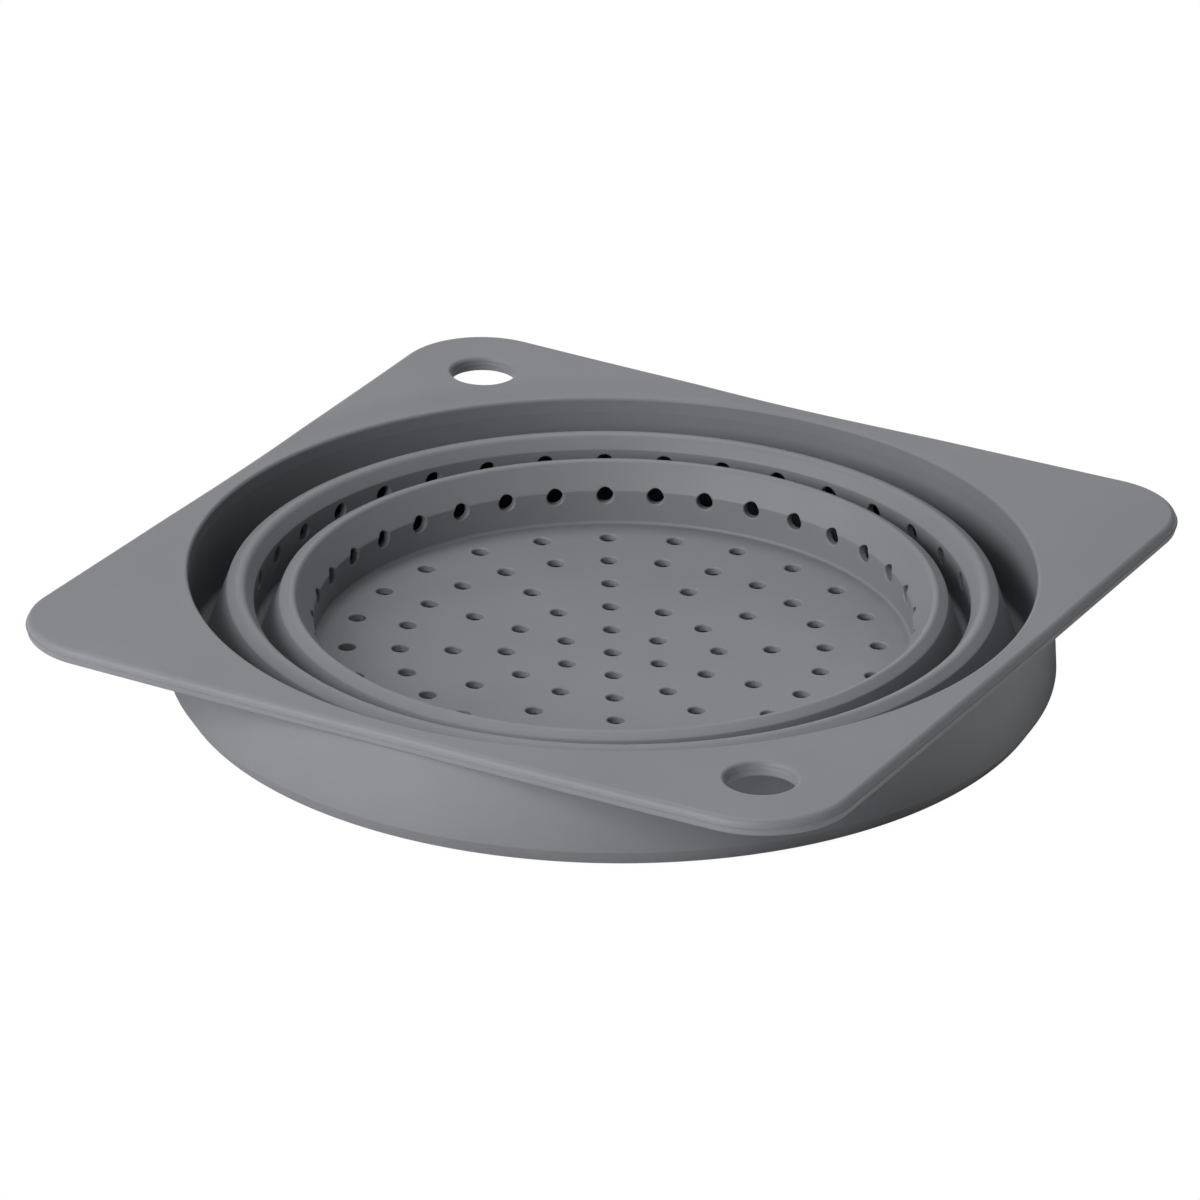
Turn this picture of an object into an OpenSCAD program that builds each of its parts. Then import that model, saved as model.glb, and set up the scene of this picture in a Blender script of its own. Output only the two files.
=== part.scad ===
// Collapsible silicone colander: a square rim with two hanging holes, an outer wall on a flat foot, and two
// perforated tiers that pop down one after the other. The model shows it folded flat. Each tier hangs on a
// thin conical web that turns inside out when the tier pops down. Origin: middle of the foot, +Z up.

/* [Rim] */
// Side of the square rim
rim_side = 240; // [236:1:260]
// Radius of the rim's corners in plan
rim_corner_r = 25; // [20:1:30]
// Thickness of the rim
rim_t = 4.4; // [4:0.1:6]
// Rounding of the rim's upper edges
rim_top_round = 2; // [1:0.1:2]
// Rounding of the rim's lower edges
rim_low_round = 1; // [0.5:0.1:1.2]
// Radius of the round opening
opening_r = 113.8; // [113:0.1:114.5]
// Radius of the two hanging holes
hang_hole_r = 9.1; // [7:0.1:11]
// Wire radius of the stiffening ring inside the rim
ring_wire_r = 1.2; // [0.8:0.1:1.2]

/* [Heights] */
// Height of the folded colander
height = 30; // [30:0.5:33]
// Top of the foot, where the outer web starts
foot_h = 4.3; // [4:0.1:5]
// Level of the middle tier's lower fold
middle_fold_z = 9; // [8.5:0.1:9.5]

/* [Tiers] */
// Centre radius of the middle lip's crown
middle_lip_r = 99.8; // [99.5:0.1:100]
// Inner radius of the middle tier at its crease
middle_crease_r = 96.3; // [96:0.1:96.5]
// Centre radius of the inner lip's crown
inner_lip_r = 85.9; // [85.5:0.1:86.2]
// Inner radius of the inner tier at its crease
inner_crease_r = 80.7; // [80.4:0.1:81]
// Thickness of the tier walls and of the base
wall_t = 2.2; // [2:0.1:2.4]
// Slope of the outer web from the horizontal
outer_web_slope = 70; // [69:0.1:71]
// Slope of the inner web from the horizontal
inner_web_slope = 70; // [69:0.1:71]
// Thickness of the webs
web_t = 1.6; // [1.2:0.1:1.8]

/* [Drain holes] */
// Radius of every drain hole
drain_r = 2.3; // [1.5:0.05:2.8]
// Distance between the rings of holes in the base
ring_pitch = 14.35; // [13.5:0.05:14.8]
// Holes in each ring of the base, from the middle outwards
ring_counts = [1, 6, 12, 12, 24, 24];
// Holes round each tier wall
wall_holes = 36; // [24:1:36]

/* [Hidden] */
$fn = 180;
grey = [0.47, 0.48, 0.5];
steel = [0.75, 0.76, 0.78];

// rim
half = rim_side / 2;
rim_low = height - rim_t;
hang_pos = half - rim_corner_r;
hang_top_round = 1.8;
hang_low_round = 0.8;
opening_round = 1;
ring_r = 116.6;
cutter_gap = 1;

// outer wall and foot: the walls flare slightly towards their lower ends
wall_flare = tan(3.9);
outer_top_r = 118.35;
outer_drop = rim_low - foot_h;
foot_out_r = outer_top_r + outer_drop * wall_flare;
wall_in_r = opening_r + outer_drop * wall_flare;
foot_chamfer_r = 117.1;
foot_in_r = 110.6;

// middle tier: the crown's arc, the web's tangent point on it, and the crease under its flank
lip_round = 4.75;
middle_lip_z = 20.45;
middle_web_top = tangent_point(middle_lip_r, middle_lip_z, lip_round, outer_web_slope);
middle_crease_z = 21.4;
middle_hole_z = 17.45;
middle_hole_turn = 0.25;
outer_web_dr = 1 / tan(outer_web_slope);
outer_web_w = web_t / sin(outer_web_slope);
outer_web_low_r = middle_web_top[0] + (middle_web_top[1] - foot_h) * outer_web_dr;
middle_low_r = middle_crease_r + (middle_crease_z - middle_fold_z) * wall_flare;

// inner tier
inner_round = 4.9;
inner_lip_z = 17.9;
inner_web_top = tangent_point(inner_lip_r, inner_lip_z, inner_round, inner_web_slope);
inner_crease_z = 15.6;
inner_split_z = 18;
inner_hole_z = 14.1;
inner_hole_turn = 0.6;
inner_web_dr = 1 / tan(inner_web_slope);
inner_web_w = web_t / sin(inner_web_slope);
inner_web_low_r = inner_web_top[0] + (inner_web_top[1] - middle_fold_z) * inner_web_dr;
flank_slope = 55;
flank_dr = 1 / tan(flank_slope);
inner_split_r = inner_crease_r + (inner_split_z - inner_crease_z) * flank_dr;
flank_w = wall_t / sin(flank_slope);

// base: a shallow dish whose rim meets the inner wall
base_edge_z = 5.6;
base_in_r = inner_crease_r + (inner_crease_z - base_edge_z) * wall_flare / 2;
base_out_r = base_in_r + wall_t;
dish_depth = 2;
dish_steps = 12;

// point of the circle round [x, y] where a web of the given slope leaves it
function tangent_point(x, y, r, slope) = [x + r * sin(slope), y + r * cos(slope)];

// points of an arc round [x, y], from angle a0 to a1
function arc(x, y, r, a0, a1, n = 8) =
    [for (i = [0 : n]) let (a = a0 + (a1 - a0) * i / n) [x + r * cos(a), y + r * sin(a)]];

// height of the dished base's upper face at radius r
function dish_z(r) = base_edge_z - dish_depth * (1 - pow(r / base_in_r, 2));

// crown of a lip: from the web's outer side over the top, down the flank, and back under the crown
module crown(lip_r, lip_z, r, slope, web_w, flank_foot, foot_w) {
    shoulder = 1.5;
    shoulder_a = 90 + flank_slope;
    hollow_rise = 0.9;
    ease_a = [0.3, 0.8];
    ease_b = [-0.3, 0.5];
    // the shoulder's centre lies where its circle touches both the top line and the flank
    top_z = lip_z + r;
    run = (top_z - flank_foot[1]) / tan(flank_slope);
    flank_top = [flank_foot[0] + run, top_z];
    shoulder_c = [flank_top[0] + shoulder * tan(flank_slope / 2), top_z - shoulder];
    web_top = tangent_point(lip_r, lip_z, r, slope);
    under_a = [flank_foot[0] + foot_w, flank_foot[1]];
    under_b = [web_top[0] - web_w, web_top[1]];
    arch = [(under_a[0] + under_b[0]) / 2, max(under_a[1], under_b[1]) + hollow_rise];
    polygon(concat(
        arc(lip_r, lip_z, r, 90 - slope, 90),
        arc(shoulder_c[0], shoulder_c[1], shoulder, 90, shoulder_a, 5),
        [flank_foot, under_a, under_a + ease_a, arch, under_b + ease_b, under_b]
    ));
}

// straight web between two levels, given its outer face
module web(low_r, low_z, high_r, high_z, w) {
    polygon([[low_r - w, low_z], [low_r, low_z], [high_r, high_z], [high_r - w, high_z]]);
}

// drain holes through a wall, all round, turned by a small angle from the holes of the base
module wall_drains(r, z, turn) {
    cut = 12;
    for (i = [0 : wall_holes - 1])
        rotate([0, 0, turn + i * 360 / wall_holes])
            translate([r - cut / 2, 0, z])
                rotate([0, 90, 0])
                    cylinder(r = drain_r, h = cut, $fn = 32);
}

// section of the rim from r = 0 to its rounded outer edge at r = w
module rim_section(w) {
    polygon(concat(
        [[0, rim_low]],
        arc(w - rim_low_round, rim_low + rim_low_round, rim_low_round, -90, 0, 5),
        arc(w - rim_top_round, height - rim_top_round, rim_top_round, 0, 90, 6),
        [[0, height]]
    ));
}

// section of a hole through the rim, with rounded edges; low_round = 0 leaves the lower edge sharp
module hole_section(r, top_round, low_round) {
    low_edge = low_round > 0 ? arc(r + low_round, rim_low + low_round, low_round, 270, 180, 5) : [];
    polygon(concat(
        [[0, rim_low - cutter_gap], [r + low_round, rim_low - cutter_gap]],
        low_edge,
        arc(r + top_round, height - top_round, top_round, 180, 90, 6),
        [[r + top_round, height + cutter_gap], [0, height + cutter_gap]]
    ));
}

// square plate with rounded corners and rounded edges
module rim_plate() {
    span = 2 * hang_pos;
    translate([-hang_pos, -hang_pos, rim_low])
        cube([span, span, rim_t]);
    for (a = [0 : 90 : 270])
        rotate([0, 0, a]) {
            translate([hang_pos, hang_pos, 0])
                rotate_extrude(angle = 90)
                    rim_section(rim_corner_r);
            translate([hang_pos, hang_pos, 0])
                rotate([90, 0, 0])
                    linear_extrude(span)
                        rim_section(rim_corner_r);
        }
}

// stiffening ring's wire
module ring_wire() {
    translate([ring_r, (rim_low + height) / 2])
        circle(ring_wire_r, $fn = 32);
}

module rim() {
    color(grey)
        difference() {
            rim_plate();
            rotate_extrude()
                hole_section(opening_r, opening_round, 0);
            for (s = [-1, 1])
                translate([s * hang_pos, -s * hang_pos, 0])
                    rotate_extrude($fn = 64)
                        hole_section(hang_hole_r, hang_top_round, hang_low_round);
            rotate_extrude()
                ring_wire();
        }
}

module rim_ring() {
    color(steel)
        rotate_extrude()
            ring_wire();
}

module outer_wall() {
    color(grey)
        rotate_extrude()
            polygon([[wall_in_r, foot_h], [foot_out_r, foot_h],
                     [outer_top_r, rim_low], [opening_r, rim_low]]);
}

module foot() {
    gap = wall_in_r - outer_web_low_r;
    web_in_r = outer_web_low_r - outer_web_w;
    edge = [0.5, 1];
    color(grey)
        rotate_extrude()
            polygon(concat(
                [[foot_in_r, 0], [foot_chamfer_r, 0], [foot_out_r, foot_h]],
                arc(outer_web_low_r + gap / 2, foot_h, gap / 2, 360, 180),
                [[web_in_r, foot_h], [web_in_r + edge[0], edge[1]]]
            ));
}

module outer_web() {
    color(grey)
        rotate_extrude()
            web(outer_web_low_r, foot_h, middle_web_top[0], middle_web_top[1], outer_web_w);
}

module middle_lip() {
    color(grey)
        rotate_extrude()
            crown(middle_lip_r, middle_lip_z, lip_round, outer_web_slope, outer_web_w,
                  [middle_crease_r, middle_crease_z], wall_t);
}

module middle_wall() {
    color(grey)
        difference() {
            rotate_extrude()
                polygon([[middle_low_r, middle_fold_z], [middle_low_r + wall_t, middle_fold_z],
                         [middle_crease_r + wall_t, middle_crease_z], [middle_crease_r, middle_crease_z]]);
            wall_drains(middle_crease_r, middle_hole_z, middle_hole_turn);
        }
}

module middle_fold() {
    gap = middle_low_r - inner_web_low_r;
    floor_z = middle_fold_z - gap / 2 - web_t;
    web_in_r = inner_web_low_r - inner_web_w;
    wall_out_r = middle_low_r + wall_t;
    bevel = 1;
    draft = 0.3;
    color(grey)
        rotate_extrude()
            polygon(concat(
                [[web_in_r + draft + bevel, floor_z], [wall_out_r - bevel, floor_z],
                 [wall_out_r, floor_z + bevel], [wall_out_r, middle_fold_z]],
                arc(inner_web_low_r + gap / 2, middle_fold_z, gap / 2, 360, 180),
                [[web_in_r, middle_fold_z], [web_in_r + draft, floor_z + bevel]]
            ));
}

module inner_web() {
    color(grey)
        rotate_extrude()
            web(inner_web_low_r, middle_fold_z, inner_web_top[0], inner_web_top[1], inner_web_w);
}

module inner_lip() {
    color(grey)
        rotate_extrude()
            crown(inner_lip_r, inner_lip_z, inner_round, inner_web_slope, inner_web_w,
                  [inner_split_r, inner_split_z], flank_w);
}

module inner_wall() {
    back_drop = 0.5;
    color(grey)
        difference() {
            rotate_extrude()
                polygon([[base_in_r, base_edge_z], [base_out_r, base_edge_z],
                         [inner_crease_r + wall_t, inner_crease_z - back_drop],
                         [inner_split_r + flank_w, inner_split_z], [inner_split_r, inner_split_z],
                         [inner_crease_r, inner_crease_z]]);
            wall_drains(inner_crease_r, inner_hole_z, inner_hole_turn);
        }
}

module base() {
    edge_round = 1.5;
    steps = [for (i = [0 : dish_steps]) base_in_r * i / dish_steps];
    color(grey)
        difference() {
            rotate_extrude()
                polygon(concat(
                    [for (r = steps) [r, dish_z(r)]],
                    [[base_out_r, base_edge_z]],
                    arc(base_out_r - edge_round, base_edge_z - wall_t + edge_round, edge_round, 0, -90, 5),
                    [for (i = [dish_steps - 1 : -1 : 0]) [steps[i], dish_z(steps[i]) - wall_t]]
                ));
            for (k = [0 : len(ring_counts) - 1])
                for (i = [0 : ring_counts[k] - 1])
                    rotate([0, 0, i * 360 / ring_counts[k]])
                        translate([k * ring_pitch, 0, 0])
                            cylinder(r = drain_r, h = base_edge_z + cutter_gap, $fn = 32);
        }
}

rim();
rim_ring();
outer_wall();
foot();
outer_web();
middle_lip();
middle_wall();
middle_fold();
inner_web();
inner_lip();
inner_wall();
base();
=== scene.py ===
import bmesh
import bpy
import math
import numpy as np
from mathutils import Matrix, Vector
from mathutils.geometry import delaunay_2d_cdt


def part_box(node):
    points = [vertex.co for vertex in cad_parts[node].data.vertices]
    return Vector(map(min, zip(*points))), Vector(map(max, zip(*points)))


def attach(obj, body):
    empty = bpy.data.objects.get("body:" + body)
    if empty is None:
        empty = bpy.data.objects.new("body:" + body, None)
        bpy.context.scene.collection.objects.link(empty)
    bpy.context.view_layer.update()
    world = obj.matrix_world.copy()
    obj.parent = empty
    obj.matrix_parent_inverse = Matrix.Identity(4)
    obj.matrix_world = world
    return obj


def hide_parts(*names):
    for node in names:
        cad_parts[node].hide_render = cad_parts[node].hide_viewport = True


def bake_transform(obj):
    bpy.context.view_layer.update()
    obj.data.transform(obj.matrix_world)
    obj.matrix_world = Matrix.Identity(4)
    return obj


MM = 0.001
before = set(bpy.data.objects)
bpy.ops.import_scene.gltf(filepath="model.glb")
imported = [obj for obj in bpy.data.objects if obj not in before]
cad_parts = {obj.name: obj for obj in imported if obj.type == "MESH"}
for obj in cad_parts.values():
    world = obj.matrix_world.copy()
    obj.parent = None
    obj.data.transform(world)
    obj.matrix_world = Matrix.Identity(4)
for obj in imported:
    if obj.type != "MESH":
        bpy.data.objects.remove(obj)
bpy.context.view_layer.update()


# ---------------------------------------------------------------- sizes, in millimetres
def box_mm(node):
    """Low and high corner of a CAD node's box, in millimetres."""
    lo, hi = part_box(node)
    return lo / MM, hi / MM


RIM_LO, RIM_HI = box_mm("rim")
TOP = RIM_HI.z
RIM_LOW = RIM_LO.z
HALF = RIM_HI.x
CORNER_R = 25.0
CORNER_C = HALF - CORNER_R
OPENING_R = 113.8
HANG_R = 9.1
WALL_TOP_R = 118.35
MOUTH_FILLET = 1.0
FOOT_R = box_mm("foot")[1].x
FOOT_TOP = box_mm("foot")[1].z
FOOT_JOINT = FOOT_TOP + 0.7
FOOT_FACE_R = 117.1
FLARE = math.tan(math.radians(3.9))

WEB_SLOPE_OUT = math.radians(70.0)
WEB_SLOPE_IN = math.radians(70.0)
FLANK = math.radians(55.0)
BROW = math.radians(27.0)
WEB_T = 1.6
WALL_T = 2.2

# A lip is (radius of its centre line, height, radius of its section), and a crease is (radius, height).
MID_LIP = (99.8, 20.45, 4.75)
MID_CREASE = (96.3, 21.4)
MID_CUT = 22.2
MID_CEILING = 23.4
MID_FOLD = box_mm("middle_wall")[0].z
MID_FOLD_LOW = box_mm("middle_fold")[0].z
MID_HOLE_Z = 17.45
MID_HOLE_TURN = 0.25

IN_LIP = (85.9, 17.9, 4.9)
IN_CREASE = (80.7, 15.6)
IN_CUT = box_mm("inner_wall")[1].z
IN_CEILING = 20.9
IN_HOLE_Z = 14.1
IN_HOLE_TURN = 0.6
BASE_EDGE = box_mm("inner_wall")[0].z
BASE_R = IN_CREASE[0] + (IN_CREASE[1] - BASE_EDGE) * FLARE / 2
BASE_FILLET_R = 80.0
BASE_FILLET_Z = BASE_EDGE + 1.0
DISH_DEPTH = 2.43
DISH_FLATTENING = 0.75

DRAIN_R = 2.3
DRAIN_FILLET = 0.5
BACK_FILLET = 0.3
WALL_HOLES = 36
RING_PITCH = 14.35
RING_COUNTS = (1, 6, 12, 12, 24, 24)

AROUND = 360
FILLET_STEP = 6.0


# ---------------------------------------------------------------- profiles
def rounded(points):
    """Polyline of (x, y) or (x, y, fillet radius) with its corners rounded; open at both ends."""
    out = []
    for i, p in enumerate(points):
        r = p[2] if len(p) > 2 else 0.0
        if r <= 0 or i in (0, len(points) - 1):
            out.append((p[0], p[1]))
            continue
        c = np.array(p[:2], float)
        a = np.array(points[i - 1][:2], float) - c
        b = np.array(points[i + 1][:2], float) - c
        a, b = a / np.linalg.norm(a), b / np.linalg.norm(b)
        half = math.acos(max(-1.0, min(1.0, float(a @ b)))) / 2
        t = r / math.tan(half)
        mid = (a + b) / np.linalg.norm(a + b)
        centre = c + mid * (r / math.sin(half))
        u, v = c + a * t - centre, c + b * t - centre
        start = math.atan2(u[1], u[0])
        turn = math.atan2(u[0] * v[1] - u[1] * v[0], float(u @ v))
        n = max(3, math.ceil(abs(math.degrees(turn)) / FILLET_STEP))
        for k in range(n + 1):
            w = start + turn * k / n
            out.append((centre[0] + r * math.cos(w), centre[1] + r * math.sin(w)))
    return out


def arc(cx, cy, r, a0, a1, step):
    """Points of an arc from angle a0 to a1, at most step apart, all in degrees."""
    n = max(2, math.ceil(abs(a1 - a0) / step))
    angles = [math.radians(a0 + (a1 - a0) * k / n) for k in range(n + 1)]
    return [(cx + r * math.cos(a), cy + r * math.sin(a)) for a in angles]


def subdivided(points, longest):
    """The same polyline with no piece longer than longest."""
    out = [points[0]]
    for a, b in zip(points, points[1:]):
        n = max(1, math.ceil(math.hypot(b[0] - a[0], b[1] - a[1]) / longest))
        out += [(a[0] + (b[0] - a[0]) * k / n, a[1] + (b[1] - a[1]) * k / n) for k in range(1, n + 1)]
    return out


# ---------------------------------------------------------------- how the soft object settles
# Lifts and shifts are in millimetres, TIER_LEAN is a slope, and the corners go by the signs of x and y.
EDGE_LIFT = 0.4
EDGE_BLEND = 12.0
CORNER_LIFTS = {(-1, 1): 2.0, (1, -1): 1.2, (-1, -1): 0.95, (1, 1): 0.62}
MOUTH_LIFT = 0.2
MOUTH_LEAN = 0.36
WALL_ZONE_R = 112.0
TIER_STILL_R = 96.0
TIER_LOOSE_R = 89.0
TIER_SHIFT = 0.35
TIER_LEAN = 0.0056
BASE_CURL = 0.5
BASE_CURL_R = 70.0
LEAN_WAY = math.radians(28.8)


def eased(x, start, end):
    """0 at start and 1 at end, with a smooth run between them."""
    t = np.clip((x - start) / (end - start), 0.0, 1.0)
    return t * t * (3 - 2 * t)


def settling(p):
    """How far each point of the relaxed shape has moved. The rim curls up, most at its corners, and its wall
    stretches to follow. The inner tier sits a little sideways and leans, and its base curls up at two sides.
    """
    x, y, z = p.T
    r = np.hypot(x, y)
    along = x * math.cos(LEAN_WAY) + y * math.sin(LEAN_WAY)
    across = y * math.cos(LEAN_WAY) - x * math.sin(LEAN_WAY)
    quarters = [(x * i > 0) & (y * j > 0) for i, j in CORNER_LIFTS]
    corner = np.select(quarters, list(CORNER_LIFTS.values()), EDGE_LIFT)
    nearness = np.abs(x * y) / (CORNER_C + CORNER_R * math.sqrt(0.5)) ** 2
    edge = EDGE_LIFT + (corner - EDGE_LIFT) * nearness ** 1.6
    mouth = MOUTH_LIFT - MOUTH_LEAN * across / OPENING_R
    lift = mouth + (edge - mouth) * eased(r, OPENING_R, OPENING_R + EDGE_BLEND)
    stretch = np.clip((z - FOOT_JOINT) / (RIM_LOW - FOOT_JOINT), 0.0, 1.0)
    inner = eased(r, TIER_STILL_R, TIER_LOOSE_R)
    curl = BASE_CURL * (along / BASE_FILLET_R) ** 2 * eased(r, BASE_FILLET_R, BASE_CURL_R)
    up = np.where(r > WALL_ZONE_R, lift * stretch, TIER_LEAN * along * inner + curl)
    sideways = TIER_SHIFT * inner
    return np.column_stack([sideways * math.cos(LEAN_WAY), sideways * math.sin(LEAN_WAY), up])


def settled(v, n):
    """Points and surface normals after settling."""
    h = 1e-3
    grid = np.stack([(settling(v + h * e) - settling(v - h * e)) / (2 * h) for e in np.eye(3)], axis=1)
    turned = np.linalg.solve(grid + np.eye(3), n[:, :, None])[:, :, 0]
    turned /= np.linalg.norm(turned, axis=1)[:, None]
    return v + settling(v), turned


# ---------------------------------------------------------------- mesh building
MERGE_GRID = 2e-4
GRID_OFFSET = 0.37


class Shell:
    """Collects vertices with their surface normals, and faces; flat faces take their own normal."""

    def __init__(self):
        self.v, self.n, self.f, self.flat = [], [], [], []
        self.count = 0

    def add(self, v, n):
        """Adds vertices and returns their numbers."""
        v, n = np.asarray(v, float).reshape(-1, 3), np.asarray(n, float).reshape(-1, 3)
        first = self.count
        self.v.append(v)
        self.n.append(n)
        self.count += len(v)
        return np.arange(first, first + len(v))

    def faces(self, rows, flat=False):
        rows = [tuple(int(i) for i in r) for r in rows]
        self.f += rows
        self.flat += [flat] * len(rows)

    def strip(self, a, b, closed=True, flat=False):
        """Quads between two rows of vertex numbers of the same length."""
        n = len(a)
        last = n if closed else n - 1
        self.faces([(a[i], a[(i + 1) % n], b[(i + 1) % n], b[i]) for i in range(last)], flat)

    def build(self, name):
        """Joins equal points, settles the shape and makes the object with the given corner normals."""
        v, n = np.vstack(self.v), np.vstack(self.n)
        key = np.floor(v / MERGE_GRID + GRID_OFFSET).astype(np.int64)
        _, first, index = np.unique(key, axis=0, return_index=True, return_inverse=True)
        index = index.reshape(-1)
        v, n = settled(v, n)
        bm = bmesh.new()
        verts = [bm.verts.new(tuple(p * MM)) for p in v[first]]
        corners = []
        for f, flat in zip(self.f, self.flat):
            g = [int(index[i]) for i in f]
            keep = [k for k in range(len(g)) if g[k] != g[k - 1]]
            if len(keep) < 3 or len({g[k] for k in keep}) < len(keep):
                continue
            try:
                bm.faces.new([verts[g[k]] for k in keep])
            except ValueError:
                continue
            corners.append(None if flat else {g[k]: n[f[k]] for k in keep})
        bm.verts.index_update()
        bmesh.ops.recalc_face_normals(bm, faces=bm.faces[:])
        if bm.calc_volume(signed=True) < 0:
            bmesh.ops.reverse_faces(bm, faces=bm.faces[:])
        bm.normal_update()
        open_edges = sum(1 for e in bm.edges if len(e.link_faces) != 2)
        normals = []
        bm.faces.ensure_lookup_table()
        for face, own in zip(bm.faces, corners):
            fn = np.array(face.normal)
            for loop in face.loops:
                m = fn if own is None else own[loop.vert.index]
                normals.append(tuple(m if float(m @ fn) >= 0 else -m))
        me = bpy.data.meshes.new(name)
        bm.to_mesh(me)
        bm.free()
        me.polygons.foreach_set("use_smooth", [True] * len(me.polygons))
        me.update()
        me.normals_split_custom_set(normals)
        print(f"{name}: {len(me.vertices)} vertices, {len(me.polygons)} faces, {open_edges} open edges")
        o = bpy.data.objects.new(name, me)
        bpy.context.scene.collection.objects.link(o)
        return o


ANGLES = np.radians(np.arange(AROUND) * 360.0 / AROUND)
COS, SIN = np.cos(ANGLES), np.sin(ANGLES)


def ring(shell, r, z, nr, nz):
    """A circle of vertices at radius r and height z, with the surface normal (nr, nz)."""
    length = math.hypot(nr, nz)
    nr, nz = nr / length, nz / length
    v = np.column_stack([r * COS, r * SIN, np.full(AROUND, z)])
    n = np.column_stack([nr * COS, nr * SIN, np.full(AROUND, nz)])
    return shell.add(v, n)


def revolved(shell, path):
    """Sweeps a closed (r, z) path, walked anticlockwise, round Z. Corners over the sharp angle stay sharp."""
    sharp = 30.0
    pts = [p for i, p in enumerate(path) if math.dist(p, path[i - 1]) > 1e-6]
    n = len(pts)
    normals = []
    for i in range(n):
        a, b = pts[i], pts[(i + 1) % n]
        d = (b[0] - a[0], b[1] - a[1])
        length = math.hypot(*d)
        normals.append((d[1] / length, -d[0] / length))
    ends = []
    for i in range(n):
        before, after = normals[i - 1], normals[i]
        turn = math.degrees(math.acos(max(-1.0, min(1.0, before[0] * after[0] + before[1] * after[1]))))
        both = (before[0] + after[0], before[1] + after[1])
        ends.append((before, after) if turn > sharp else (both, both))
    for i in range(n):
        a, b = pts[i], pts[(i + 1) % n]
        low = ring(shell, a[0], a[1], *ends[i][1])
        high = ring(shell, b[0], b[1], *ends[(i + 1) % n][0])
        shell.strip(low, high)


def triangles(points, outline, holes):
    """Delaunay triangles of 2D points inside a convex outline, without the insides of convex hole loops."""
    edges = [(loop[i], loop[(i + 1) % len(loop)]) for loop in [outline, *holes] for i in range(len(loop))]
    _, _, tris, back, _, _ = delaunay_2d_cdt([Vector(p) for p in points], edges, [], 0, 1e-5)
    owner = {i: k for k, loop in enumerate(holes) for i in loop}
    out = []
    for t in tris:
        t = [back[i][0] for i in t]
        owners = {owner.get(i, -1) for i in t}
        if len(owners) > 1 or owners == {-1}:
            out.append(t)
    return out


def hole_rings(r, fillet, low_fillet, depth):
    """(radius, depth, angle of the surface) down a hole with two rounded edges. The angle runs from 0 on the
    upper face to a right angle in the bore, and is negative on the lower edge."""
    rows = []
    steps = 5
    for k in range(steps + 1):
        a = math.radians(90.0 * k / steps)
        rows.append((r + fillet * (1 - math.sin(a)), fillet * (1 - math.cos(a)), a))
    for k in range(steps + 1):
        a = math.radians(90.0 * (1 - k / steps))
        rows.append((r + low_fillet * (1 - math.sin(a)), depth - low_fillet * (1 - math.cos(a)), -a))
    return rows


# ---------------------------------------------------------------- revolved pieces
def crown_top(lip, crease, web_slope, start):
    """Top of a lip: from its web's tangent point round a soft edge, up a sloping brow to the ridge, and down
    the flank to height start. Brow and web are tangents of the lip's circle."""
    cx, cz, r = lip
    half = (web_slope - BROW) / 2
    reach = r / math.cos(half)
    edge = (cx + reach * math.sin(BROW + half), cz + reach * math.cos(BROW + half))
    gap = r - (crease[0] - cx) * math.sin(BROW) - (crease[1] - cz) * math.cos(BROW)
    rise = gap / math.sin(FLANK + BROW)
    ridge = (crease[0] + rise * math.cos(FLANK), crease[1] + rise * math.sin(FLANK))
    over = math.cos((FLANK - BROW) / 2) / math.cos((FLANK + BROW) / 2) - 1
    ridge_r = (ridge[1] - cz - r) / over
    return rounded([(cx + r * math.sin(web_slope), cz + r * math.cos(web_slope)), (*edge, 0.8),
                    (*ridge, ridge_r), (crease[0] + (start - crease[1]) / math.tan(FLANK), start)])


def web_point(lip, slope, z):
    """Radius of a web's outer face at height z."""
    cx, cz, r = lip
    tx, tz = cx + r * math.sin(slope), cz + r * math.cos(slope)
    return tx + (tz - z) / math.tan(slope)


def crown(name, lip, crease, web_slope, start, back, ceiling):
    """A tier's rounded lip. back is the hidden side of its flank at height start, and ceiling is the step
    outwards, the height and the fillet of the hollow under the lip."""
    top_z = lip[1] + lip[2] * math.cos(web_slope)
    web_in = web_point(lip, web_slope, top_z) - WEB_T / math.sin(web_slope)
    top = crown_top(lip, crease, web_slope, start)
    under = rounded([back, (back[0] + ceiling[0], ceiling[1], ceiling[2]),
                     (web_in - (ceiling[1] - top_z) / math.tan(web_slope), ceiling[1], ceiling[2]),
                     (web_in, top_z)])
    shell = Shell()
    revolved(shell, top + under)
    return shell.build(name)


def web(name, lip, slope, low_z):
    """A thin cone with many rows."""
    top_z = lip[1] + lip[2] * math.cos(slope)
    width = WEB_T / math.sin(slope)
    row = 0.5
    low_r, high_r = web_point(lip, slope, low_z), web_point(lip, slope, top_z)
    outer = subdivided([(low_r, low_z), (high_r, top_z)], row)
    inner = subdivided([(high_r - width, top_z), (low_r - width, low_z)], row)
    shell = Shell()
    revolved(shell, outer + inner)
    return shell.build(name)


def make_outer_wall():
    lip = 0.55
    row = 2.0
    widening = (RIM_LOW - FOOT_JOINT) * FLARE
    inner = subdivided([(OPENING_R + widening, FOOT_JOINT), (OPENING_R, RIM_LOW)], row)
    outer = rounded([(WALL_TOP_R + lip, RIM_LOW), (WALL_TOP_R, RIM_LOW - lip, 0.5),
                     (WALL_TOP_R + widening, FOOT_JOINT)])
    shell = Shell()
    revolved(shell, inner[::-1] + subdivided(outer[::-1], row))
    return shell.build("outer_wall_shell")


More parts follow.
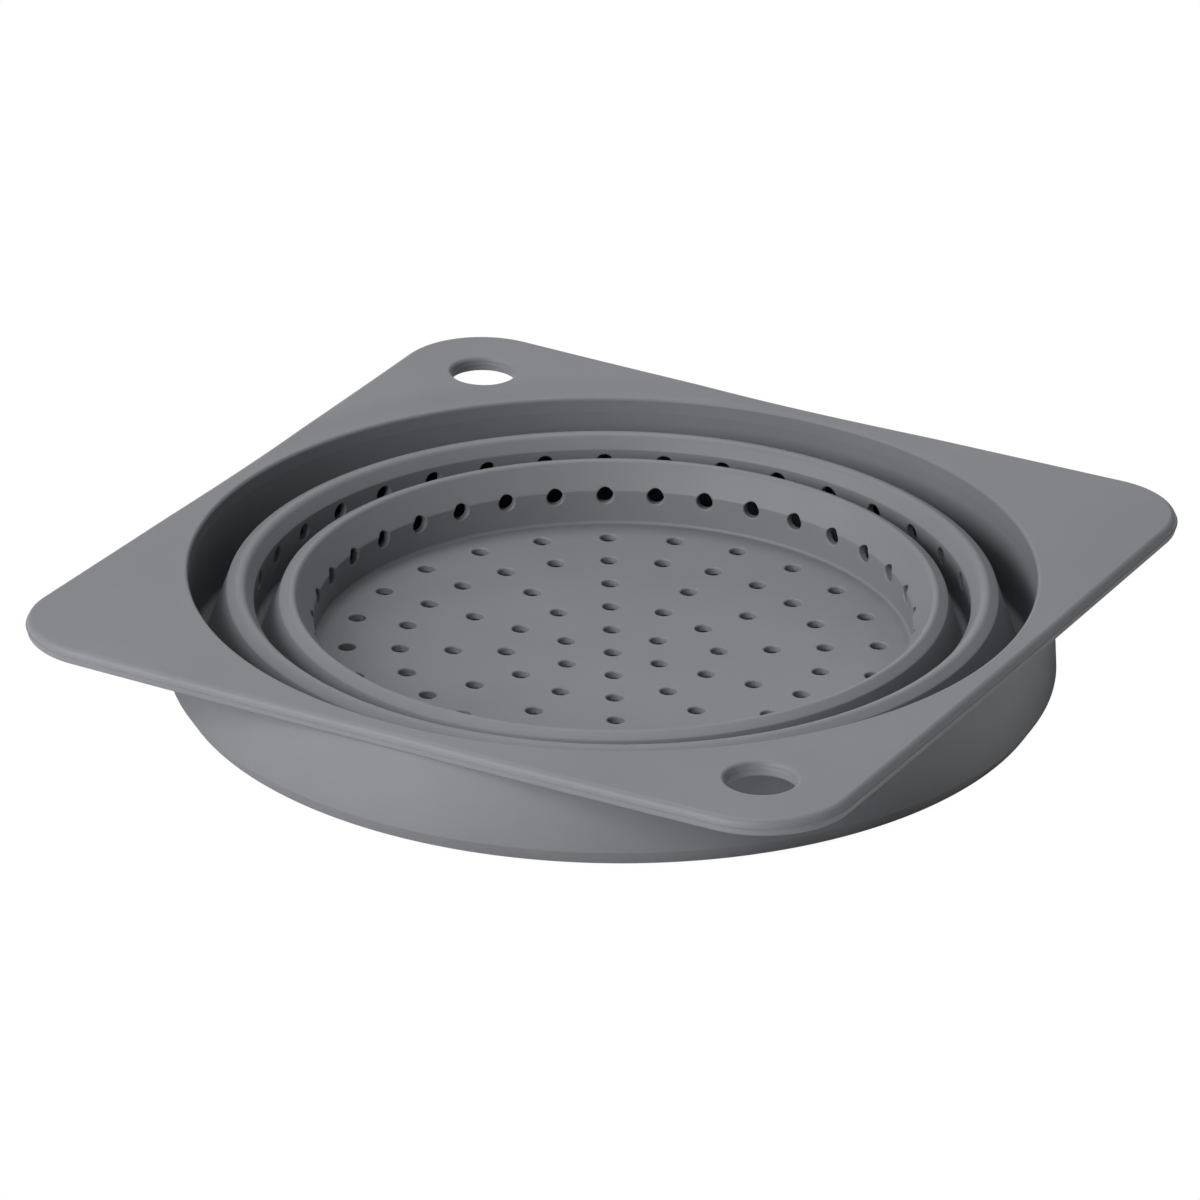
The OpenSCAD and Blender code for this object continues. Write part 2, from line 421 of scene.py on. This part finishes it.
def make_foot():
    """The ring under the outer wall, with the valley of the outer groove."""
    slope = WEB_SLOPE_OUT
    floor_z = 1.7
    fillet = 1.6
    web_r = web_point(MID_LIP, slope, FOOT_TOP)
    web_in = web_r - WEB_T / math.sin(slope)
    widening = (RIM_LOW - FOOT_JOINT) * FLARE
    wall_in = OPENING_R + widening
    valley = rounded([(wall_in, FOOT_JOINT), (wall_in + (FOOT_JOINT - floor_z) * FLARE, floor_z, fillet),
                      (web_r + (FOOT_TOP - floor_z) / math.tan(slope), floor_z, fillet),
                      (web_r, FOOT_TOP)])
    under = rounded([(web_in, FOOT_TOP), (web_in + FOOT_TOP / math.tan(slope), 0.0, 0.8),
                     (FOOT_FACE_R, 0.0, 0.5), (FOOT_R, FOOT_TOP, 0.5), (WALL_TOP_R + widening, FOOT_JOINT)])
    shell = Shell()
    revolved(shell, under + valley)
    return shell.build("foot_ring")


def make_middle_fold():
    """The ring under the middle wall, with the valley of the inner groove."""
    slope = WEB_SLOPE_IN
    web_r = web_point(IN_LIP, slope, MID_FOLD)
    web_in = web_r - WEB_T / math.sin(slope)
    wall_in = MID_CREASE[0] + (MID_CREASE[1] - MID_FOLD) * FLARE
    low = MID_FOLD_LOW
    floor_z = low + WEB_T
    depth = MID_FOLD - floor_z
    fillet = 1.2
    valley = rounded([(wall_in, MID_FOLD), (wall_in + depth * FLARE, floor_z, fillet),
                      (web_r + depth / math.tan(slope), floor_z, fillet), (web_r, MID_FOLD)])
    under = rounded([(web_in, MID_FOLD), (web_in + (MID_FOLD - low) / math.tan(slope), low, 1.1),
                     (wall_in + WALL_T + 0.1, low, 1.5), (wall_in + WALL_T, MID_FOLD)])
    shell = Shell()
    revolved(shell, under + valley)
    return shell.build("middle_fold_ring")


# ---------------------------------------------------------------- perforated walls and base
def wall_face(shell, path, sign, hole_z, edge_r, turns):
    """One face of a perforated wall over the sector of one hole. Returns its edges and the hole's loop."""
    row = 1.2
    clearance = 0.4
    path = sorted(subdivided(path, row), key=lambda p: p[1])
    zs = np.array([p[1] for p in path])
    rs = np.array([p[0] for p in path])
    slope = np.gradient(rs, zs)
    mean_r = float(rs.mean())
    sector = 2 * math.pi / WALL_HOLES
    cols = np.linspace(-sector / 2, sector / 2, AROUND // WALL_HOLES + 1)

    def surface(theta, z):
        r = np.interp(z, zs, rs)
        s = np.interp(z, zs, slope)
        n = np.array([sign, 0.0, -sign * s])
        n /= np.linalg.norm(n)
        c, k = math.cos(theta), math.sin(theta)
        return (r * c, r * k, z), (n[0] * c, n[0] * k, n[2])

    flat, solid, normal = [], [], []

    def put(theta, z):
        p, n = surface(theta, z)
        flat.append((theta * mean_r, z))
        solid.append(p)
        normal.append(n)
        return len(flat) - 1

    low = [put(t, zs[0]) for t in cols]
    high = [put(t, zs[-1]) for t in cols]
    left = [low[0]] + [put(cols[0], z) for z in zs[1:-1]] + [high[0]]
    right = [low[-1]] + [put(cols[-1], z) for z in zs[1:-1]] + [high[-1]]
    loop = []
    for a in turns:
        y, z = edge_r * math.cos(a), hole_z + edge_r * math.sin(a)
        r = float(np.interp(z, zs, rs))
        loop.append(put(math.asin(y / r), z))
    for z in zs[1:-1]:
        for t in cols[1:-1]:
            if math.hypot(t * mean_r, z - hole_z) > edge_r + clearance:
                put(t, z)
    outline = low + right[1:-1] + high[::-1] + left[1:-1][::-1]

    tris = triangles(flat, outline, [loop])
    ids = shell.add(solid, normal)
    shell.faces([[ids[i] for i in t] for t in tris])
    return ids[low], ids[high], ids[loop]


def perforated_ring(name, inner, outer, hole_z, hole_turn):
    """A tier wall with a ring of rounded drain holes; inner and outer are (r, z) paths with the same ends."""
    one = Shell()
    turns = np.linspace(0, 2 * math.pi, 40, endpoint=False)
    in_low, in_high, in_loop = wall_face(one, inner, -1.0, hole_z, DRAIN_R + DRAIN_FILLET, turns)
    in_faces = len(one.f)
    out_low, out_high, out_loop = wall_face(one, outer, 1.0, hole_z, DRAIN_R + BACK_FILLET, turns)
    one.f[in_faces:] = [f[::-1] for f in one.f[in_faces:]]
    v = np.vstack(one.v)
    n = np.vstack(one.n)

    def rim_rows(loop, fillet, into):
        """Rows of vertices round the hole's edge on one face, going into the wall."""
        rows = []
        steps = 5
        profile = sorted((p[1], p[0]) for p in (inner if into > 0 else outer))
        for k in range(steps + 1):
            a = math.radians(90.0 * k / steps)
            shrink = (DRAIN_R + fillet * (1 - math.sin(a))) / (DRAIN_R + fillet)
            p = v[loop].copy()
            y = p[:, 1] * shrink
            z = hole_z + (p[:, 2] - hole_z) * shrink
            reach = np.interp(z, *zip(*profile))
            x = np.sqrt(reach ** 2 - y ** 2) + into * fillet * (1 - math.cos(a))
            axis = -np.column_stack([np.zeros(len(turns)), np.cos(turns), np.sin(turns)])
            rows.append(one.add(np.column_stack([x, y, z]), n[loop] * math.cos(a) + axis * math.sin(a)))
        return rows

    rows = rim_rows(in_loop, DRAIN_FILLET, 1.0) + rim_rows(out_loop, BACK_FILLET, -1.0)[::-1]
    for a, b in zip(rows, rows[1:]):
        one.strip(a, b)
    one.strip(in_low[::-1], out_low[::-1], closed=False, flat=True)
    one.strip(in_high, out_high, closed=False, flat=True)
    v, n = np.vstack(one.v), np.vstack(one.n)
    whole = Shell()
    for k in range(WALL_HOLES):
        a = math.radians(hole_turn) + 2 * math.pi * k / WALL_HOLES
        turn = np.array([[math.cos(a), -math.sin(a), 0], [math.sin(a), math.cos(a), 0], [0, 0, 1]])
        first = whole.add(v @ turn.T, n @ turn.T)[0]
        whole.f += [tuple(i + first for i in f) for f in one.f]
        whole.flat += one.flat
    return whole.build(name)


def make_middle_wall():
    low = MID_CREASE[0] + (MID_CREASE[1] - MID_FOLD) * FLARE
    flank = MID_CREASE[0] + (MID_CUT - MID_CREASE[1]) / math.tan(FLANK)
    inner = rounded([(low, MID_FOLD), (*MID_CREASE, 0.7), (flank, MID_CUT)])
    back = MID_CREASE[0] + WALL_T
    outer = [(low + WALL_T, MID_FOLD), (back, MID_CREASE[1]), (back - 0.05, MID_CUT)]
    return perforated_ring("middle_tier_wall", inner, outer, MID_HOLE_Z, MID_HOLE_TURN)


def inner_wall_foot():
    """Inner radius of the inner wall where the base begins."""
    share = (IN_CREASE[1] - BASE_FILLET_Z) / (IN_CREASE[1] - BASE_EDGE)
    return IN_CREASE[0] + (BASE_R - IN_CREASE[0]) * share


def make_inner_wall():
    flank = IN_CREASE[0] + (IN_CUT - IN_CREASE[1]) / math.tan(FLANK)
    inner = rounded([(inner_wall_foot(), BASE_FILLET_Z), (*IN_CREASE, 0.8), (flank, IN_CUT)])
    outer = rounded([(BASE_R + WALL_T, BASE_FILLET_Z), (IN_CREASE[0] + WALL_T, IN_CREASE[1] - 0.5, 1.0),
                     (flank + WALL_T / math.sin(FLANK), IN_CUT)])
    return perforated_ring("inner_tier_wall", inner, outer, IN_HOLE_Z, IN_HOLE_TURN)


def dish(r):
    """Height of the base's upper face at radius r."""
    q = r / BASE_R
    return BASE_EDGE - DISH_DEPTH * (1 - q ** 2) + DISH_FLATTENING * (1 - q ** 4)


def dish_slope(r):
    q = r / BASE_R
    return (2 * DISH_DEPTH * q - 4 * DISH_FLATTENING * q ** 3) / BASE_R


def drain_centres():
    """Centres of the base's holes: one in the middle, and rings round it."""
    out = []
    for k, count in enumerate(RING_COUNTS):
        for i in range(count):
            a = 2 * math.pi * i / count
            out.append((k * RING_PITCH * math.cos(a), k * RING_PITCH * math.sin(a)))
    return out


def make_base():
    """The dished base: two perforated faces, joined by the holes, and a rounded edge up to the inner wall."""
    shell = Shell()
    centres = drain_centres()
    spacing = 2.2
    clearance = 0.6
    turns = np.linspace(0, 2 * math.pi, 36, endpoint=False)
    flat = [(BASE_FILLET_R * c, BASE_FILLET_R * s) for c, s in zip(COS, SIN)]
    loops = [list(range(AROUND))]
    edge_r = DRAIN_R + DRAIN_FILLET
    for cx, cy in centres:
        first = len(flat)
        flat += [(cx + edge_r * math.cos(a), cy + edge_r * math.sin(a)) for a in turns]
        loops.append(list(range(first, first + len(turns))))
    spots = np.array(centres)
    for k in range(1, int(BASE_FILLET_R / spacing)):
        r = k * spacing
        count = max(6, int(2 * math.pi * r / spacing))
        for i in range(count):
            a = 2 * math.pi * (i + 0.5 * (k % 2)) / count
            p = (r * math.cos(a), r * math.sin(a))
            nearest = np.hypot(spots[:, 0] - p[0], spots[:, 1] - p[1]).min()
            if nearest > edge_r + clearance and r < BASE_FILLET_R - 1.0:
                flat.append(p)

    tris = triangles(flat, loops[0], loops[1:])
    xy = np.array(flat)
    r = np.hypot(xy[:, 0], xy[:, 1])
    slope = dish_slope(r) / np.maximum(r, 1e-9)
    up = np.column_stack([-xy[:, 0] * slope, -xy[:, 1] * slope, np.ones(len(xy))])
    up /= np.linalg.norm(up, axis=1)[:, None]
    top = shell.add(np.column_stack([xy, dish(r)]), up)
    low = shell.add(np.column_stack([xy, dish(r) - WALL_T]), -up)
    shell.faces([[top[i] for i in t] for t in tris])
    shell.faces([[low[i] for i in t[::-1]] for t in tris])
    for (cx, cy), loop in zip(centres, loops[1:]):
        rows = []
        away = np.column_stack([np.cos(turns), np.sin(turns)])
        for radius, depth, a in hole_rings(DRAIN_R, DRAIN_FILLET, BACK_FILLET, WALL_T):
            p = np.array([cx, cy]) + away * radius
            pr = np.hypot(p[:, 0], p[:, 1])
            side = np.column_stack([-away, np.zeros(len(turns))])
            n = up[loop] * math.copysign(math.cos(a), a if a else 1.0) + side * abs(math.sin(a))
            rows.append(shell.add(np.column_stack([p, dish(pr) - depth]), n))
        # the lower fillet is the smaller one, so a flat ring fills the gap to the lower face's loop
        for a, b in zip(rows, rows[1:]):
            shell.strip(a, b)
        shell.strip(rows[-1], low[loop])
    wall_low = inner_wall_foot()
    out_r = BASE_R + WALL_T
    top_path = rounded([(BASE_FILLET_R, dish(BASE_FILLET_R)), (BASE_R, BASE_EDGE, 0.9),
                        (wall_low, BASE_FILLET_Z)])
    bottom = rounded([(out_r, BASE_FILLET_Z), (out_r, BASE_EDGE - WALL_T, 1.5),
                      (BASE_FILLET_R, dish(BASE_FILLET_R) - WALL_T)])
    for path in (top_path, bottom):
        rows = []
        for i, p in enumerate(path):
            a, b = path[max(i - 1, 0)], path[min(i + 1, len(path) - 1)]
            rows.append(ring(shell, p[0], p[1], -(b[1] - a[1]), b[0] - a[0]))
        for a, b in zip(rows, rows[1:]):
            shell.strip(a, b)
    cap_in = ring(shell, wall_low, BASE_FILLET_Z, 0, 1)
    cap_out = ring(shell, out_r, BASE_FILLET_Z, 0, 1)
    shell.strip(cap_in, cap_out)
    return shell.build("perforated_base")


# ---------------------------------------------------------------- rim
def outline_points():
    """Points round the rim's corner centres: (centre x, centre y, outward x, outward y)."""
    out = []
    side = 48
    turn = 30
    corners = [(i * CORNER_C, j * CORNER_C) for i, j in ((1, 1), (-1, 1), (-1, -1), (1, -1))]
    for k, (cx, cy) in enumerate(corners):
        for i in range(turn + 1):
            a = math.pi / 2 * (k + i / turn)
            out.append((cx, cy, math.cos(a), math.sin(a)))
        a = math.pi / 2 * (k + 1)
        nx, ny = corners[(k + 1) % 4]
        for i in range(1, side):
            t = i / side
            out.append((cx + (nx - cx) * t, cy + (ny - cy) * t, math.cos(a), math.sin(a)))
    return np.array(out)


def edge_path(top_round, low_round, flash):
    """Edge of the rim as (inset, height) from the top face down, with the mould's parting line."""
    z_line = TOP - 2.15
    half_line = 0.2
    half_crest = 0.04
    draft = 0.08
    top = arc(top_round, TOP - top_round, top_round, 90, 180, 6)
    path = [p for p in top if p[1] > z_line + half_line + 0.05]
    path += [(0.0, z_line + half_line), (-flash, z_line + half_crest)]
    path += [(-flash, z_line - half_crest), (draft, z_line - half_line)]
    return path + arc(low_round + draft, RIM_LOW + low_round, low_round, 180, 270, 10)


def swept_edge(shell, path, place):
    """Rows of vertices down an edge; place(inset) gives a row's points and its outward directions."""
    rows = []
    for i, (d, z) in enumerate(path):
        a, b = path[max(i - 1, 0)], path[min(i + 1, len(path) - 1)]
        if i == 0:
            share = (0.0, 1.0)
        elif i == len(path) - 1:
            share = (0.0, -1.0)
        else:
            length = math.dist(a, b)
            share = (abs(b[1] - a[1]) / length, (a[0] - b[0]) / length)
        xy, out = place(d)
        n = np.column_stack([out * share[0], np.full(len(xy), share[1])])
        rows.append(shell.add(np.column_stack([xy, np.full(len(xy), z)]), n))
    for a, b in zip(rows, rows[1:]):
        shell.strip(a, b)
    return rows


def rim_grid():
    """Points spread over the rim's flat faces, clear of its edges; a slight skew avoids equal distances."""
    pitch = 4.0
    span = int(HALF / pitch)
    out = []
    for i in range(-span, span + 1):
        for j in range(-span, span + 1):
            x, y = i * pitch + 0.013 * j, j * pitch + 0.017 * i
            corner = math.hypot(max(abs(x) - CORNER_C, 0), max(abs(y) - CORNER_C, 0))
            hole = min(math.hypot(x + CORNER_C, y - CORNER_C), math.hypot(x - CORNER_C, y + CORNER_C))
            on_rim = corner <= CORNER_R - pitch and math.hypot(x, y) >= OPENING_R + 3
            if on_rim and hole >= HANG_R + 3.5:
                out.append((x, y))
    return out


def make_rim():
    """The square rim: outer edge, two hanging holes and the mouth, closed by two flat faces."""
    shell = Shell()
    line = outline_points()

    def outer(d):
        return line[:, :2] + line[:, 2:] * (CORNER_R - d), line[:, 2:]

    edge = swept_edge(shell, edge_path(2.0, 1.0, 0.28), outer)
    turns = np.linspace(0, 2 * math.pi, 96, endpoint=False)
    away = np.column_stack([np.cos(turns), np.sin(turns)])
    hang = []
    for s in (-1, 1):
        centre = np.array([s * CORNER_C, -s * CORNER_C])

        def hole(d, centre=centre):
            return centre + away * (HANG_R + d), -away

        hang.append(swept_edge(shell, edge_path(1.3, 1.1, 0.18), hole))
    around = np.column_stack([COS, SIN])

    def opening(d):
        return around * (OPENING_R + d), -around

    bend = arc(MOUTH_FILLET, TOP - MOUTH_FILLET, MOUTH_FILLET, 90, 180, 8)
    path = bend + [(0.0, z) for z in np.linspace(TOP - 2 * MOUTH_FILLET, RIM_LOW, 3)]
    rows = []
    for i, (d, z) in enumerate(path):
        a = math.pi / 2 * min(1.0, i / (len(bend) - 1))
        xy, out = opening(d)
        n = np.column_stack([out * math.sin(a), np.full(AROUND, math.cos(a))])
        rows.append(shell.add(np.column_stack([xy, np.full(AROUND, z)]), n))
    for a, b in zip(rows, rows[1:]):
        shell.strip(a, b)

    v = np.vstack(shell.v)
    for level, z, up in ((0, TOP, 1.0), (-1, RIM_LOW, -1.0)):
        outline, mouth = edge[level], rows[level]
        holes = [h[level] for h in hang]
        flat = [tuple(v[i][:2]) for i in outline]
        loops = [list(range(len(flat)))]
        for loop in [mouth, *holes]:
            first = len(flat)
            flat += [tuple(v[i][:2]) for i in loop]
            loops.append(list(range(first, len(flat))))
        flat += rim_grid()
        tris = triangles(flat, loops[0], loops[1:])
        face = shell.add([(x, y, z) for x, y in flat], [(0, 0, up)] * len(flat))
        shell.faces([[face[i] for i in t] for t in tris])
    return shell.build("square_rim")


# ---------------------------------------------------------------- materials
def silicone(name):
    """Matt grey rubber: faint clouds of tone, a fine grain in the roughness and a very small bump."""
    grey = (0.202, 0.209, 0.223)
    mat = bpy.data.materials.new(name)
    mat.use_nodes = True
    t = mat.node_tree
    t.nodes.clear()

    def node(kind, **values):
        n = t.nodes.new(kind)
        for k, value in values.items():
            if k in n.inputs:
                n.inputs[k].default_value = value
            else:
                setattr(n, k, value)
        return n

    def link(a, b):
        t.links.new(a, b)

    out = node("ShaderNodeOutputMaterial")
    bsdf = node("ShaderNodeBsdfPrincipled")
    link(bsdf.outputs["BSDF"], out.inputs["Surface"])
    where = node("ShaderNodeTexCoord")
    cloud = node("ShaderNodeTexNoise", Scale=26.0, Detail=3.0, Roughness=0.5)
    link(where.outputs["Object"], cloud.inputs["Vector"])
    tint = node("ShaderNodeValToRGB")
    for element, position, tone in zip(tint.color_ramp.elements, (0.3, 0.7), (0.965, 1.035)):
        element.position = position
        element.color = [c * tone for c in grey] + [1]
    link(cloud.outputs["Fac"], tint.inputs["Fac"])
    link(tint.outputs["Color"], bsdf.inputs["Base Color"])
    grain = node("ShaderNodeTexNoise", Scale=1500.0, Detail=4.0, Roughness=0.65)
    link(where.outputs["Object"], grain.inputs["Vector"])
    rough = node("ShaderNodeMapRange")
    rough.inputs["To Min"].default_value = 0.4
    rough.inputs["To Max"].default_value = 0.5
    link(grain.outputs["Fac"], rough.inputs["Value"])
    link(rough.outputs["Result"], bsdf.inputs["Roughness"])
    bump = node("ShaderNodeBump", Strength=0.12, Distance=0.0001)
    link(grain.outputs["Fac"], bump.inputs["Height"])
    link(bump.outputs["Normal"], bsdf.inputs["Normal"])
    bsdf.inputs["IOR"].default_value = 1.41
    bsdf.inputs["Specular IOR Level"].default_value = 0.36
    return mat


def steel(name):
    """Drawn wire for the ring inside the rim."""
    mat = bpy.data.materials.new(name)
    mat.use_nodes = True
    t = mat.node_tree
    bsdf = t.nodes["Principled BSDF"]
    bsdf.inputs["Base Color"].default_value = (0.6, 0.6, 0.62, 1)
    bsdf.inputs["Metallic"].default_value = 1.0
    grain = t.nodes.new("ShaderNodeTexNoise")
    grain.inputs["Scale"].default_value = 900.0
    rough = t.nodes.new("ShaderNodeMapRange")
    rough.inputs["To Min"].default_value = 0.28
    rough.inputs["To Max"].default_value = 0.42
    t.links.new(grain.outputs["Fac"], rough.inputs["Value"])
    t.links.new(rough.outputs["Result"], bsdf.inputs["Roughness"])
    return mat


# ---------------------------------------------------------------- assembly
rubber = silicone("matte_silicone")


def finish_piece(o, node, body):
    """Puts a piece in its CAD node's place. A web has no body here."""
    o.data.materials.append(rubber)
    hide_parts(node)
    if body:
        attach(o, body)


finish_piece(make_rim(), "rim", "rim_frame")
finish_piece(make_outer_wall(), "outer_wall", "rim_frame")
finish_piece(make_foot(), "foot", "rim_frame")
finish_piece(crown("middle_tier_lip", MID_LIP, MID_CREASE, WEB_SLOPE_OUT, MID_CUT,
                   (MID_CREASE[0] + WALL_T - 0.05, MID_CUT), (0.35, MID_CEILING, 0.9)),
             "middle_lip", "middle_tier")
finish_piece(make_middle_wall(), "middle_wall", "middle_tier")
finish_piece(make_middle_fold(), "middle_fold", "middle_tier")
in_flank = IN_CREASE[0] + (IN_CUT - IN_CREASE[1]) / math.tan(FLANK) + WALL_T / math.sin(FLANK)
finish_piece(crown("inner_tier_lip", IN_LIP, IN_CREASE, WEB_SLOPE_IN, IN_CUT, (in_flank, IN_CUT),
                   ((IN_CEILING - IN_CUT) / math.tan(FLANK), IN_CEILING, 0.45)),
             "inner_lip", "inner_tier")
finish_piece(make_inner_wall(), "inner_wall", "inner_tier")
finish_piece(make_base(), "base", "inner_tier")

outer_web = web("outer_fold_web", MID_LIP, WEB_SLOPE_OUT, FOOT_TOP)
finish_piece(outer_web, "outer_web", None)
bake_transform(outer_web)
inner_web = web("inner_fold_web", IN_LIP, WEB_SLOPE_IN, MID_FOLD)
finish_piece(inner_web, "inner_web", None)
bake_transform(inner_web)

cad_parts["rim_ring"].data.materials.clear()
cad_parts["rim_ring"].data.materials.append(steel("ring_steel"))


# ---------------------------------------------------------------- floor, light and camera
def floor_sheet(name, z, mat):
    """A level square of paper 16 m wide; like all of the studio, in metres."""
    far = 8.0
    me = bpy.data.meshes.new(name)
    me.from_pydata([(-far, -far, z), (far, -far, z), (far, far, z), (-far, far, z)], [], [(0, 1, 2, 3)])
    me.materials.append(mat)
    o = bpy.data.objects.new(name, me)
    bpy.context.scene.collection.objects.link(o)
    return o


def plain_paper(name):
    """Matt white paper."""
    mat = bpy.data.materials.new(name)
    mat.use_nodes = True
    bsdf = mat.node_tree.nodes["Principled BSDF"]
    bsdf.inputs["Base Color"].default_value = (0.9, 0.9, 0.9, 1)
    bsdf.inputs["Roughness"].default_value = 0.9
    bsdf.inputs["Specular IOR Level"].default_value = 0.0
    return mat


def lit_paper(name, dim_r, bright_r):
    """Paper lit from below: plain under the object up to dim_r, and evenly white from bright_r outwards."""
    mat = plain_paper(name)
    t = mat.node_tree
    where = t.nodes.new("ShaderNodeTexCoord")
    length = t.nodes.new("ShaderNodeVectorMath")
    length.operation = "LENGTH"
    share = t.nodes.new("ShaderNodeMapRange")
    share.interpolation_type = "SMOOTHSTEP"
    share.inputs["From Min"].default_value = dim_r
    share.inputs["From Max"].default_value = bright_r
    glow = t.nodes.new("ShaderNodeEmission")
    mix = t.nodes.new("ShaderNodeMixShader")
    t.links.new(where.outputs["Object"], length.inputs[0])
    t.links.new(length.outputs["Value"], share.inputs["Value"])
    t.links.new(share.outputs["Result"], mix.inputs["Fac"])
    t.links.new(t.nodes["Principled BSDF"].outputs["BSDF"], mix.inputs[1])
    t.links.new(glow.outputs["Emission"], mix.inputs[2])
    t.links.new(mix.outputs["Shader"], t.nodes["Material Output"].inputs["Surface"])
    return mat


# The camera sees only the lit paper. From below, light reaches the object only off the plain card under it.
light_table = floor_sheet("studio_floor", -0.0002, lit_paper("light_table_paper", 0.107, 0.1185))
light_table.visible_diffuse = False
light_table.visible_glossy = False
light_table.visible_transmission = False
light_table.visible_shadow = False
bounce = floor_sheet("bounce_card", -0.0004, plain_paper("white_card"))
bounce.visible_camera = False

scene = bpy.context.scene
scene.view_settings.view_transform = "Standard"
world = bpy.data.worlds.new("studio")
scene.world = world
world.use_nodes = True
world.node_tree.nodes["Background"].inputs["Color"].default_value = (1, 1, 1, 1)
world.node_tree.nodes["Background"].inputs["Strength"].default_value = 0.156

AZIMUTH = math.radians(28.8)
ELEVATION = math.radians(24.9348)
ROLL = math.radians(0.6735)
DISTANCE = 1.773832
AIM_RIGHT = -0.0031785
AIM_UP = 0.0128074
AIM_HEIGHT = 0.00527
LAMP_DISTANCE = 1.6
LAMP_SIZE = 0.9
right = Vector((math.cos(AZIMUTH), math.sin(AZIMUTH), 0))
back = Vector((right.y * math.cos(ELEVATION), -right.x * math.cos(ELEVATION), math.sin(ELEVATION)))
up = back.cross(right)
cam_x = right * math.cos(ROLL) + up * math.sin(ROLL)
cam_y = up * math.cos(ROLL) - right * math.sin(ROLL)


def softbox(name, azimuth, elevation, power):
    """A square lamp facing the object, at that elevation and turned that far from the camera, in degrees."""
    data = bpy.data.lights.new(name, "AREA")
    data.shape = "SQUARE"
    data.size = LAMP_SIZE
    data.energy = power
    lamp = bpy.data.objects.new(name, data)
    bpy.context.scene.collection.objects.link(lamp)
    a, e = AZIMUTH + math.radians(azimuth), math.radians(elevation)
    way = Vector((math.sin(a) * math.cos(e), -math.cos(a) * math.cos(e), math.sin(e)))
    lamp.location = way * LAMP_DISTANCE
    lamp.rotation_mode = "QUATERNION"
    lamp.rotation_quaternion = (-way).to_track_quat("-Z", "Y")


softbox("front_key", -35, 28, 14.2)
softbox("rear_high", 180, 66, 10.2)
softbox("left_fill", -70, 28, 10.4)
softbox("rear_low", 180, 10, 2.9)

cam_data = bpy.data.cameras.new("camera")
cam_data.sensor_width = 36.0
cam_data.lens = 197.245
cam_data.clip_start, cam_data.clip_end = 0.05, 50.0
cam = bpy.data.objects.new("camera", cam_data)
bpy.context.scene.collection.objects.link(cam)
cam.rotation_mode = "QUATERNION"
cam.rotation_quaternion = Matrix((cam_x, cam_y, back)).transposed().to_quaternion()
cam.location = cam_x * AIM_RIGHT + cam_y * AIM_UP + back * DISTANCE + Vector((0, 0, AIM_HEIGHT))
scene.camera = cam
